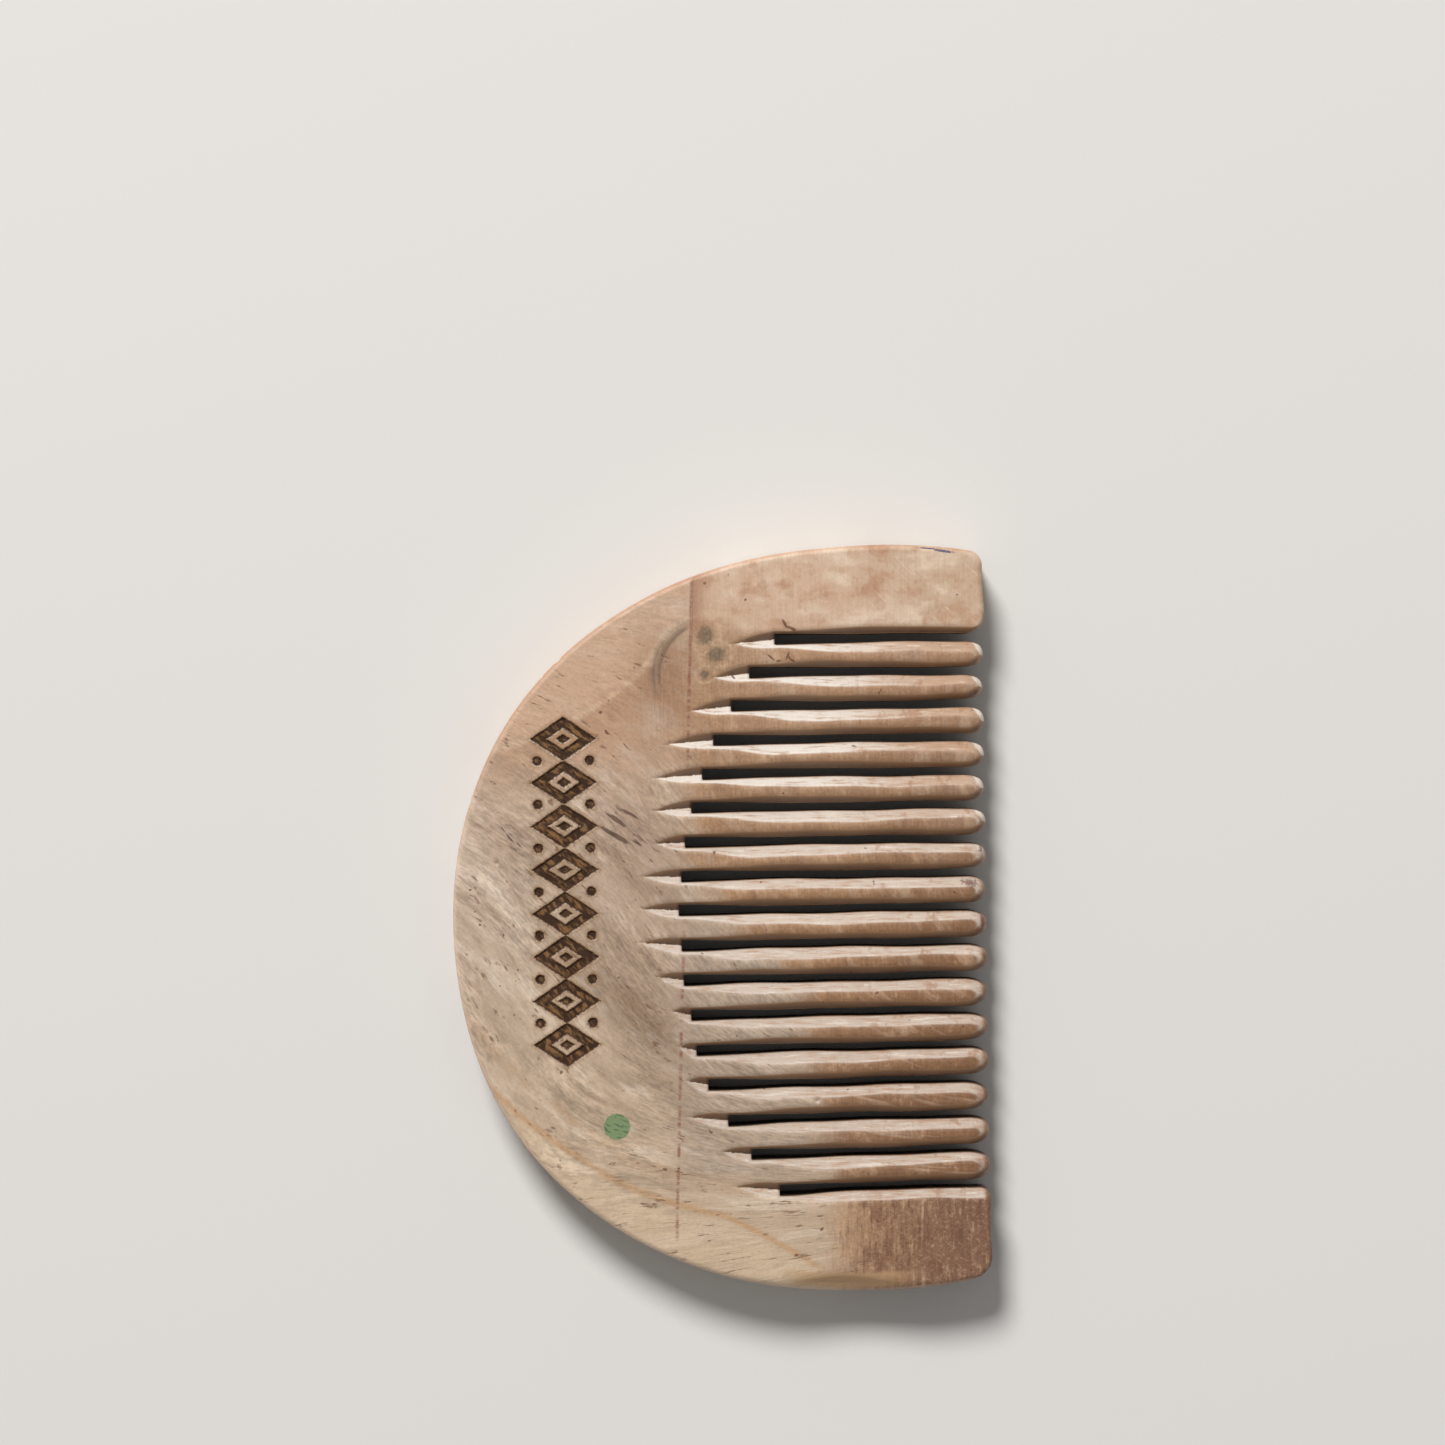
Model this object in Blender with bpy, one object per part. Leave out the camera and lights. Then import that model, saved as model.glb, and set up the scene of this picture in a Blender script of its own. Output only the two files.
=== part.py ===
"""Beard comb: a D shaped hardwood comb sawn from one board, with a rounded back,
sixteen bevelled teeth and a wide guard at each end of the row.

The comb lies on its underside. +X runs from the back to the tooth tips, +Y runs
along the row of teeth and +Z is up. The origin is the middle of the footprint at
the height of the underside. All dimensions are in metres.
"""

import math

import bmesh
import bpy
from mathutils import Vector

MM = 0.001

# Board
BACK_THICKNESS = 9.0 * MM
TOP_TAPER_START = -4.3 * MM  # the scribed line across the board
TOP_TAPER_DROP = 0.7 * MM  # at the tooth tips
UNDER_TAPER_START = 6.0 * MM
UNDER_TAPER_RISE = 0.5 * MM
TIP_LINE = 35.85 * MM
EDGE_ROUNDING = 0.9 * MM
CORNER_RADIUS = 1.9 * MM

# Rounded back: a superellipse, turned a little because the back is hand shaped
BACK_CENTRE = (19.98 * MM, -0.05 * MM)
BACK_HALF_DEPTH = 55.87 * MM
BACK_HALF_LENGTH = 49.95 * MM
BACK_EXPONENT = 2.17
BACK_TURN = math.radians(2.9)
BACK_STEPS = 72

# Slots
SLOT_COUNT = 17
SLOT_WIDTH = 1.5 * MM
MIDDLE_SLOT_Y = 1.5 * MM
SLOT_PITCH = 4.60 * MM
PITCH_GROWTH = 0.009 * MM  # the pitch opens slightly towards the lower end
SLOT_CONVERGENCE = 0.47  # radians per metre of distance from the middle slot
ROOT_ARC_RADIUS = 58.6 * MM
ROOT_ARC_APEX = -5.6 * MM
ROOT_ARC_CENTRE_Y = 0.7 * MM

# V grooves that run out on the back and widen into the bevels of the teeth
RUN_OUT = 5.0 * MM
GROOVE_HALF_AT_ROOT = 1.07 * MM
BEVEL_ABOVE_SLOT = 1.42 * MM  # half width of the groove on the side of the tooth above
BEVEL_BELOW_SLOT = 2.05 * MM  # and on the side of the tooth below
BEVEL_GROWTH = 13.0 * MM
BEVEL_SLOPE = 1.0

# Tooth tips, and the inner corner of each guard
NOSE_LENGTH = 3.6 * MM
NOSE_STEPS = 6
GUARD_NOSE_RADIUS = 1.7 * MM

ROOT_STUB = 0.6 * MM  # tooth roots stand this far out of the slot bottoms
GAP = 0.3 * MM

WOOD_COLOURS = {
    "comb_back": (0.56, 0.44, 0.31),
    "guard": (0.50, 0.37, 0.26),
    "tooth": (0.45, 0.31, 0.20),
}


def clear_scene():
    for old in list(bpy.data.objects):
        bpy.data.objects.remove(old, do_unlink=True)


def collection(name):
    made = bpy.data.collections.new(name)
    bpy.context.scene.collection.children.link(made)
    return made


def wood(name, colour):
    material = bpy.data.materials.new(name)
    material.use_nodes = True
    shader = material.node_tree.nodes["Principled BSDF"]
    shader.inputs["Base Color"].default_value = (*colour, 1.0)
    shader.inputs["Roughness"].default_value = 0.6
    shader.inputs["Metallic"].default_value = 0.0
    return material


def smooth(t):
    t = min(max(t, 0.0), 1.0)
    return t * t * (3.0 - 2.0 * t)


def top_height(x):
    share = max(0.0, (x - TOP_TAPER_START) / (TIP_LINE - TOP_TAPER_START))
    return BACK_THICKNESS - TOP_TAPER_DROP * share


def under_height(x):
    share = max(0.0, (x - UNDER_TAPER_START) / (TIP_LINE - UNDER_TAPER_START))
    return UNDER_TAPER_RISE * share


def slot_middle(number):
    steps = number - (SLOT_COUNT + 1) / 2
    return MIDDLE_SLOT_Y - SLOT_PITCH * steps - PITCH_GROWTH * steps * steps


def slot_y(number, x):
    """Centre line of a slot: the slots lean together slightly towards the tips."""
    lean = SLOT_CONVERGENCE * (slot_middle(number) - MIDDLE_SLOT_Y)
    return slot_middle(number) - lean * (x - TIP_LINE / 2)


def slot_start(number):
    away = slot_middle(number) - ROOT_ARC_CENTRE_Y
    return (
        ROOT_ARC_APEX
        + ROOT_ARC_RADIUS
        - math.sqrt(ROOT_ARC_RADIUS**2 - away**2)
    )


def groove_half(number, x, final):
    """Half width of the V groove at the surface, on one side of the slot."""
    start = slot_start(number)
    if x < start:
        along = max(0.0, (x - start + RUN_OUT) / RUN_OUT)
        return GROOVE_HALF_AT_ROOT * (2 * along - along * along)
    return GROOVE_HALF_AT_ROOT + (final - GROOVE_HALF_AT_ROOT) * smooth(
        (x - start) / BEVEL_GROWTH
    )


def back_point(angle):
    c, s = math.cos(angle), math.sin(angle)
    x = BACK_HALF_DEPTH * math.copysign(abs(c) ** (2 / BACK_EXPONENT), c)
    y = BACK_HALF_LENGTH * math.copysign(abs(s) ** (2 / BACK_EXPONENT), s)
    return Vector(
        (
            BACK_CENTRE[0] + x * math.cos(BACK_TURN) - y * math.sin(BACK_TURN),
            BACK_CENTRE[1] + x * math.sin(BACK_TURN) + y * math.cos(BACK_TURN),
        )
    )


def angle_at_tip_line(low, high):
    """The angle between low and high where the back's curve crosses the tip line."""
    for _ in range(60):
        middle = (low + high) / 2
        if (back_point(low).x - TIP_LINE) * (back_point(middle).x - TIP_LINE) <= 0:
            high = middle
        else:
            low = middle
    return (low + high) / 2


def fillet(corner, along_in, along_out, radius, steps=6):
    """Points of an arc that rounds a corner, from the first side to the second."""
    a, b = along_in.normalized(), along_out.normalized()
    half = a.angle(b) / 2
    reach = radius / math.tan(half)
    centre = corner + (a + b).normalized() * radius / math.sin(half)
    first, last = corner + a * reach - centre, corner + b * reach - centre
    turn = first.angle_signed(last)
    points = []
    for i in range(steps + 1):
        t = -turn * i / steps
        points.append(
            centre
            + Vector(
                (
                    first.x * math.cos(t) - first.y * math.sin(t),
                    first.x * math.sin(t) + first.y * math.cos(t),
                )
            )
        )
    return points, reach


def board_outline():
    upper = angle_at_tip_line(math.radians(30), math.radians(100))
    lower = angle_at_tip_line(math.radians(260), math.radians(330))
    down = Vector((0.0, -1.0))
    step = math.radians(1)
    first, last = back_point(upper), back_point(lower)
    upper_arc, reach = fillet(first, down, back_point(upper + step) - first, CORNER_RADIUS)
    lower_arc, _ = fillet(last, back_point(lower - step) - last, -down, CORNER_RADIUS)
    points = list(upper_arc)
    for i in range(1, BACK_STEPS):
        point = back_point(upper + (lower - upper) * i / BACK_STEPS)
        if min((point - first).length, (point - last).length) > reach * 1.3:
            points.append(point)
    return points + list(lower_arc)


def flat_plate(name, points, low, high, into, rounding=0.0):
    """A closed plate with the given plan outline between two heights."""
    curve = bpy.data.curves.new(name, "CURVE")
    curve.dimensions = "2D"
    curve.fill_mode = "BOTH"
    curve.extrude = (high - low) / 2 - rounding
    if rounding:
        curve.bevel_depth = rounding
        curve.bevel_resolution = 2
        curve.offset = -rounding
    spline = curve.splines.new("POLY")
    spline.points.add(len(points) - 1)
    for slot, point in zip(spline.points, points):
        slot.co = (point[0], point[1], 0.0, 1.0)
    spline.use_cyclic_u = True
    drawn = bpy.data.objects.new(name + "_outline", curve)
    drawn.location = (0.0, 0.0, (low + high) / 2)
    into.objects.link(drawn)
    bpy.context.view_layer.update()
    evaluated = drawn.evaluated_get(bpy.context.evaluated_depsgraph_get())
    mesh = bpy.data.meshes.new_from_object(evaluated)
    mesh.name = name
    made = bpy.data.objects.new(name, mesh)
    made.matrix_world = drawn.matrix_world.copy()
    into.objects.link(made)
    bpy.data.objects.remove(drawn, do_unlink=True)
    body = bmesh.new()
    body.from_mesh(mesh)
    bmesh.ops.remove_doubles(body, verts=body.verts, dist=1e-6)
    bmesh.ops.recalc_face_normals(body, faces=body.faces)
    body.to_mesh(mesh)
    body.free()
    return made


def loft(name, rings, into, origin=(0.0, 0.0, 0.0)):
    """A closed body through rings of points that all have the same count."""
    body = bmesh.new()
    base = Vector(origin)
    made = [[body.verts.new(Vector(p) - base) for p in ring] for ring in rings]
    for one, two in zip(made, made[1:]):
        count = len(one)
        for i in range(count):
            j = (i + 1) % count
            body.faces.new((one[i], one[j], two[j], two[i]))
    body.faces.new(list(reversed(made[0])))
    body.faces.new(made[-1])
    bmesh.ops.recalc_face_normals(body, faces=body.faces)
    mesh = bpy.data.meshes.new(name)
    body.to_mesh(mesh)
    body.free()
    piece = bpy.data.objects.new(name, mesh)
    piece.location = base
    into.objects.link(piece)
    return piece


def as_cutter(piece):
    piece.hide_render = True
    piece.display_type = "WIRE"
    return piece


def cut(piece, tool, operation="DIFFERENCE"):
    step = piece.modifiers.new(operation.title() + "_" + tool.name, "BOOLEAN")
    step.object = tool
    step.operation = operation
    step.solver = "EXACT"


def board_blank(name, into):
    """The whole board before sawing: tapered on both faces, its rim rounded."""
    blank = flat_plate(
        name, board_outline(), 0.0, BACK_THICKNESS, into, EDGE_ROUNDING
    )
    body = bmesh.new()
    body.from_mesh(blank.data)
    for crease in (TOP_TAPER_START, UNDER_TAPER_START):
        everything = body.verts[:] + body.edges[:] + body.faces[:]
        bmesh.ops.bisect_plane(
            body, geom=everything, plane_co=(crease, 0, 0), plane_no=(1, 0, 0), dist=1e-6
        )
    for vertex in body.verts:
        x = vertex.co.x
        if vertex.co.z > 0:
            vertex.co.z += top_height(x) - BACK_THICKNESS
        else:
            vertex.co.z += under_height(x)
    body.to_mesh(blank.data)
    body.free()
    return blank


def root_line(number):
    """Where tooth number starts; 0 and SLOT_COUNT stand for the two guards."""
    beside = [n for n in (number, number + 1) if 1 <= n <= SLOT_COUNT]
    return max(slot_start(n) for n in beside) + ROOT_STUB


def tooth_zone():
    """Plan outline of all that lies beyond the stepped tooth side of the back."""
    far_x, far_y = TIP_LINE + 20 * MM, 70 * MM
    points = [(far_x, far_y), (root_line(0), far_y)]
    for number in range(1, SLOT_COUNT + 1):
        before, bottom, after = root_line(number - 1), slot_start(number), root_line(number)
        half = SLOT_WIDTH / 2
        points += [
            (before, slot_y(number, before) + half),
            (bottom, slot_y(number, bottom) + half),
            (bottom, slot_y(number, bottom) - half),
            (after, slot_y(number, after) - half),
        ]
    return points + [(root_line(SLOT_COUNT), -far_y), (far_x, -far_y)]


def guard_zone(upper):
    """Plan outline of the end of the board beyond the first or the last slot."""
    number, side = (1, 1) if upper else (SLOT_COUNT, -1)
    start = slot_start(number) + ROOT_STUB + GAP
    end = TIP_LINE + 20 * MM
    turn_x = TIP_LINE - GUARD_NOSE_RADIUS
    edge = [(start, slot_y(number, start) + side * SLOT_WIDTH / 2)]
    for i in range(8):
        angle = math.radians(10 * i)
        edge.append(
            (
                turn_x + GUARD_NOSE_RADIUS * math.sin(angle),
                slot_y(number, turn_x)
                + side * (SLOT_WIDTH / 2 + GUARD_NOSE_RADIUS * (1 - math.cos(angle))),
            )
        )
    edge.append((end, edge[-1][1]))
    points = [(start, side * 70 * MM)] + edge + [(end, side * 70 * MM)]
    return points if upper else points[::-1]


def groove(number, on_top, to_x, into):
    """A V shaped cutter along one slot, on the top or on the underside."""
    start = slot_start(number)
    first = start - RUN_OUT + 0.25 * MM
    count = 9
    stations = [first + (start - first) * i / count for i in range(count + 1)]
    length = to_x - start
    more = max(2, round(length / (4 * MM)))
    stations += [start + length * i / more for i in range(1, more + 1)]
    proud = 0.6 * MM
    rings = []
    for x in stations:
        above = groove_half(number, x, BEVEL_ABOVE_SLOT)
        below = groove_half(number, x, BEVEL_BELOW_SLOT)
        depth = BEVEL_SLOPE * (above + below) / 2
        face = top_height(x) if on_top else under_height(x)
        out = 1 if on_top else -1
        y = slot_y(number, x)
        rings.append(
            [
                (x, y + (above - below) / 2, face - out * depth),
                (x, y + above + proud / BEVEL_SLOPE, face + out * proud),
                (x, y - below - proud / BEVEL_SLOPE, face + out * proud),
            ]
        )
    side = "top" if on_top else "under"
    return as_cutter(loft(f"groove_{side}_{number:02d}", rings, into))


def joined(name, pieces, into):
    """One cutter made of several that don't touch."""
    body = bmesh.new()
    for piece in pieces:
        body.from_mesh(piece.data)
        bpy.data.objects.remove(piece, do_unlink=True)
    mesh = bpy.data.meshes.new(name)
    body.to_mesh(mesh)
    body.free()
    made = bpy.data.objects.new(name, mesh)
    into.objects.link(made)
    return as_cutter(made)


def tooth(number, into):
    """A tooth between two slots: an eight sided bar with a bullet shaped nose."""
    start = root_line(number) + GAP
    nose = TIP_LINE - NOSE_LENGTH
    body_steps = 7
    stations = [
        (start + (nose - start) * (i / body_steps) ** 1.3, 1.0)
        for i in range(body_steps + 1)
    ]
    for i in range(1, NOSE_STEPS + 1):
        angle = math.radians(82) * i / NOSE_STEPS
        reach = math.sin(angle) / math.sin(math.radians(82))
        stations.append((nose + NOSE_LENGTH * reach, math.cos(angle)))
    rings = []
    for x, share in stations:
        high = slot_y(number, x) - SLOT_WIDTH / 2
        low = slot_y(number + 1, x) + SLOT_WIDTH / 2
        above = groove_half(number, x, BEVEL_BELOW_SLOT) - SLOT_WIDTH / 2
        below = groove_half(number + 1, x, BEVEL_ABOVE_SLOT) - SLOT_WIDTH / 2
        up, down = top_height(x), under_height(x)
        fall_above, fall_below = above * BEVEL_SLOPE, below * BEVEL_SLOPE
        ring = [
            (high - above, up),
            (high, up - fall_above),
            (high, down + fall_above),
            (high - above, down),
            (low + below, down),
            (low, down + fall_below),
            (low, up - fall_below),
            (low + below, up),
        ]
        y0, z0 = (high + low) / 2, (up + down) / 2
        tall = share**0.6
        rings.append(
            [(x, y0 + (y - y0) * share, z0 + (z - z0) * tall) for y, z in ring]
        )
    middle = (slot_y(number, start) + slot_y(number + 1, start)) / 2
    return loft(
        f"tooth_{number:02d}", rings, into, (start, middle, BACK_THICKNESS / 2)
    )


def main():
    clear_scene()
    parts = collection("beard_comb")
    cutters = collection("cutters")

    back = board_blank("comb_back", parts)
    zone = as_cutter(
        flat_plate("tooth_zone", tooth_zone(), -6 * MM, BACK_THICKNESS + 6 * MM, cutters)
    )
    cut(back, zone)
    for on_top in (True, False):
        row = [
            groove(n, on_top, slot_start(n) + 4 * MM, cutters)
            for n in range(1, SLOT_COUNT + 1)
        ]
        side = "top" if on_top else "under"
        cut(back, joined(f"run_outs_{side}", row, cutters))
    back.data.materials.append(wood("comb_back_wood", WOOD_COLOURS["comb_back"]))

    for name, upper in (("end_guard_upper", True), ("end_guard_lower", False)):
        guard = board_blank(name, parts)
        region = flat_plate(
            name + "_zone", guard_zone(upper), -6 * MM, BACK_THICKNESS + 6 * MM, cutters
        )
        cut(guard, as_cutter(region), "INTERSECT")
        number = 1 if upper else SLOT_COUNT
        for on_top in (True, False):
            bevel = groove(number, on_top, TIP_LINE + 4 * MM, cutters)
            bevel.name = name + ("_bevel_top" if on_top else "_bevel_under")
            cut(guard, bevel)
        guard.data.materials.append(wood(name + "_wood", WOOD_COLOURS["guard"]))

    for number in range(1, SLOT_COUNT):
        piece = tooth(number, parts)
        piece.data.materials.append(wood(piece.name + "_wood", WOOD_COLOURS["tooth"]))


main()
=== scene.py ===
"""Looks of a D shaped wooden beard comb: one board, hand sawn and filed, with a
burned ornament on its face. Millimetres are used while shaping; metres when done."""
import math

import bmesh
import bpy
import numpy as np
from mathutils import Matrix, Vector


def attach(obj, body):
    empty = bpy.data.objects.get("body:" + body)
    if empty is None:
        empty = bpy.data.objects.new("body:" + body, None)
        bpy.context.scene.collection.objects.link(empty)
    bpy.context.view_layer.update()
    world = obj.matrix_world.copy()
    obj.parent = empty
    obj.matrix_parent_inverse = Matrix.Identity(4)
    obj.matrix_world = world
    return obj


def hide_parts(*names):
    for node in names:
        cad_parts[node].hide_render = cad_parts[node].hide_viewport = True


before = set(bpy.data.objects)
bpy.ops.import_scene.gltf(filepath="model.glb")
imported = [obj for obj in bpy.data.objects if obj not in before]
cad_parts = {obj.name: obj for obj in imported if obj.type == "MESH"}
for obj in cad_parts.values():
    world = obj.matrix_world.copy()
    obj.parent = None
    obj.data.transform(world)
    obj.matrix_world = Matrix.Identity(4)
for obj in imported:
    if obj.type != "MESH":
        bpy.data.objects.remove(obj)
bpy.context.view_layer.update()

# ---------------------------------------------------------------- dimensions (mm)
THICK = 9.0
TAPER_X, TAPER_DROP = -4.3, 0.7
UNDER_X, UNDER_RISE = 6.0, 0.5
TIP_X = 35.85
BACK_C = (19.98, -0.05)
BACK_A, BACK_B, BACK_N = 55.87, 49.95, 2.17
BACK_TURN = math.radians(2.9)
CORNER_R = 1.9
RIM_R = 0.78
SLOTS = 17
KERF, KERF_TIP = 1.48, 1.06
SLOT_Y0, PITCH, PITCH_GROWTH = 1.24, 4.60, 0.009
LEAN_UP, LEAN_DOWN = 0.0001, 0.00047
ROOT_R, ROOT_APEX, ROOT_Y = 58.6, -5.6, 0.44
RUN_OUT = (5.4, 4.6, 5.2, 6.0, 6.2, 4.8, 3.8, 5.0, 4.8, 5.4, 3.5, 2.4, 2.2, 2.8, 5.2, 3.8, 5.8)
GROOVE_ROOT = 1.07
BEVEL_UP, BEVEL_DOWN = 1.46, 1.94
BEVEL_GROWTH = (9.0, 12.0)
NOSE = 3.0
LINE_X, LINE_LEAN = -5.04, 0.0365
BAND_X, BAND_Y, BAND_PITCH, BAND_COUNT = -20.9, 4.0, 5.85, 8
BAND_HALF_X, BAND_HALF_Y, BAND_STROKE, BAND_DEPTH = 4.4, 2.95, 0.62, 0.26
DOT_X, DOT_Y, DOT_R = -14.4, -27.5, 1.75

CELL = ((0.25, 0.2, 0.3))
TARGET = 330000


def smooth(t):
    t = np.clip(t, 0.0, 1.0)
    return t * t * (3.0 - 2.0 * t)


def smax(a, b, r):
    h = np.maximum(r - np.abs(a - b), 0.0) / r
    return np.maximum(a, b) + h * h * r * 0.25


def wave(x, y, seed):
    """Smooth value between about -1 and 1 with no visible period on the comb."""
    a = np.sin(0.61 * x + 0.35 * y + 1.7 * seed) + np.sin(-0.29 * x + 0.73 * y + 2.3 * seed)
    b = np.sin(1.31 * x - 0.87 * y + 3.1 * seed) + np.sin(0.97 * x + 1.49 * y + 4.3 * seed)
    return (a + 0.5 * b) / 2.4


# ---------------------------------------------------------------- the shape
def slot_mid(i):
    return SLOT_Y0 - PITCH * (i - 9) - PITCH_GROWTH * (i - 9) ** 2


def slot_y(i, x):
    away = slot_mid(i) - SLOT_Y0
    wander = 0.05 * np.sin(0.21 * x + 2.4 * i) + 0.03 * np.sin(0.53 * x + 1.1 * i)
    return slot_mid(i) - np.where(away > 0, LEAN_UP, LEAN_DOWN) * away * (x - 17.9) + wander


def slot_start(i):
    away = slot_mid(i) - ROOT_Y
    deeper = 0.95 * np.exp(-(((i - 13.9) / 1.5) ** 2))  # sawn a little deeper there
    return ROOT_APEX + ROOT_R - np.sqrt(ROOT_R**2 - away**2) - deeper + 0.12 * np.sin(2.7 * i)


def run_out(i):
    return np.take(np.array((RUN_OUT[0],) + RUN_OUT + (RUN_OUT[-1],)), np.clip(i, 0, SLOTS + 1).astype(int))


def groove_bend(i, x):
    """How far the run-out of a groove swings off its slot's line, towards the comb's middle."""
    back = np.clip((slot_start(i) - x) / run_out(i), 0.0, 1.2)
    return 0.62 * np.tanh((i - 7.4) / 2.4) * back


def groove_half(i, x, final, side):
    start = slot_start(i)
    u = (x - start) / run_out(i) + 1.0
    lead = GROOVE_ROOT * np.where(u > 0, 2 * u - u * u, 2 * u)
    uneven = 1.0 + 0.07 * np.sin(0.17 * x + 1.9 * i + 2.0 * side) + 0.025 * np.sin(0.55 * x + 2.7 * i + side)
    uneven = uneven * (1.0 - 0.08 * smooth((x - 15.0) / 15.0))  # narrower again towards the tips
    grown = GROOVE_ROOT + (final * uneven - GROOVE_ROOT) * smooth((x - start) / BEVEL_GROWTH[side])
    return np.where(x < start, lead, grown)


def outline(x, y):
    """Signed distance to the board's outline in plan, negative inside."""
    c, s = math.cos(BACK_TURN), math.sin(BACK_TURN)
    px, py = x - BACK_C[0], y - BACK_C[1]
    X, Y = (px * c + py * s) / BACK_A, (-px * s + py * c) / BACK_B
    n = BACK_N
    ax, ay = np.abs(X) + 1e-6, np.abs(Y) + 1e-6
    r = (ax**n + ay**n) ** (1 / n)
    g = r ** (1 - n) * np.hypot(ax ** (n - 1) / BACK_A, ay ** (n - 1) / BACK_B)
    back = (r - 1) / np.maximum(g, 1e-4)
    turn = np.arctan2(py, px)
    back = back + 0.05 * np.sin(5 * turn + 0.6) + 0.03 * np.sin(11 * turn + 2.0) + 0.012 * np.sin(23 * turn)
    back = back + chip(x, y, -21.6, 35.2, 0.4, 0.3) + chip(x, y, -23.9, 32.9, 0.3, 0.15) + chip(x, y, -33.6, 16.2, 0.3, 0.12)
    right = x - (TIP_X - 0.12 + 0.10 * np.sin(0.5 * y + 0.4) - 0.002 * np.abs(y - 2))
    radius = np.where(y > 0, 1.7, 2.6)
    a, b = back + radius, right + radius
    return np.minimum(np.maximum(a, b), 0) + np.hypot(np.maximum(a, 0), np.maximum(b, 0)) - radius


def chip(x, y, cx, cy, size, depth):
    return depth * np.exp(-((x - cx) ** 2 + (y - cy) ** 2) / size**2)


def ornament(x, y):
    """Signed distance to a chain of outlined lozenges with a small lozenge inside each
    and a dot in the notches between them."""
    v = y - BAND_Y
    half = BAND_PITCH * BAND_COUNT / 2
    k = np.clip(np.floor((v + half) / BAND_PITCH), 0, BAND_COUNT - 1)
    w = v + half - (k + 0.5) * BAND_PITCH
    u = x - BAND_X
    norm = BAND_HALF_X * BAND_HALF_Y / math.hypot(BAND_HALF_X, BAND_HALF_Y)
    lozenge = (np.abs(u) / BAND_HALF_X + np.abs(w) / BAND_HALF_Y - 1) * norm
    ring = np.abs(lozenge + BAND_STROKE) - BAND_STROKE
    core = (np.abs(u) / 0.95 + np.abs(w) / 0.62 - 1) * 0.52
    k2 = np.clip(np.round((v + half) / BAND_PITCH), 1, BAND_COUNT - 1)
    w2 = v + half - k2 * BAND_PITCH
    dots = np.hypot(np.abs(u) - 3.5, w2) - 0.62
    return np.minimum(np.minimum(ring, core), dots)


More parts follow.
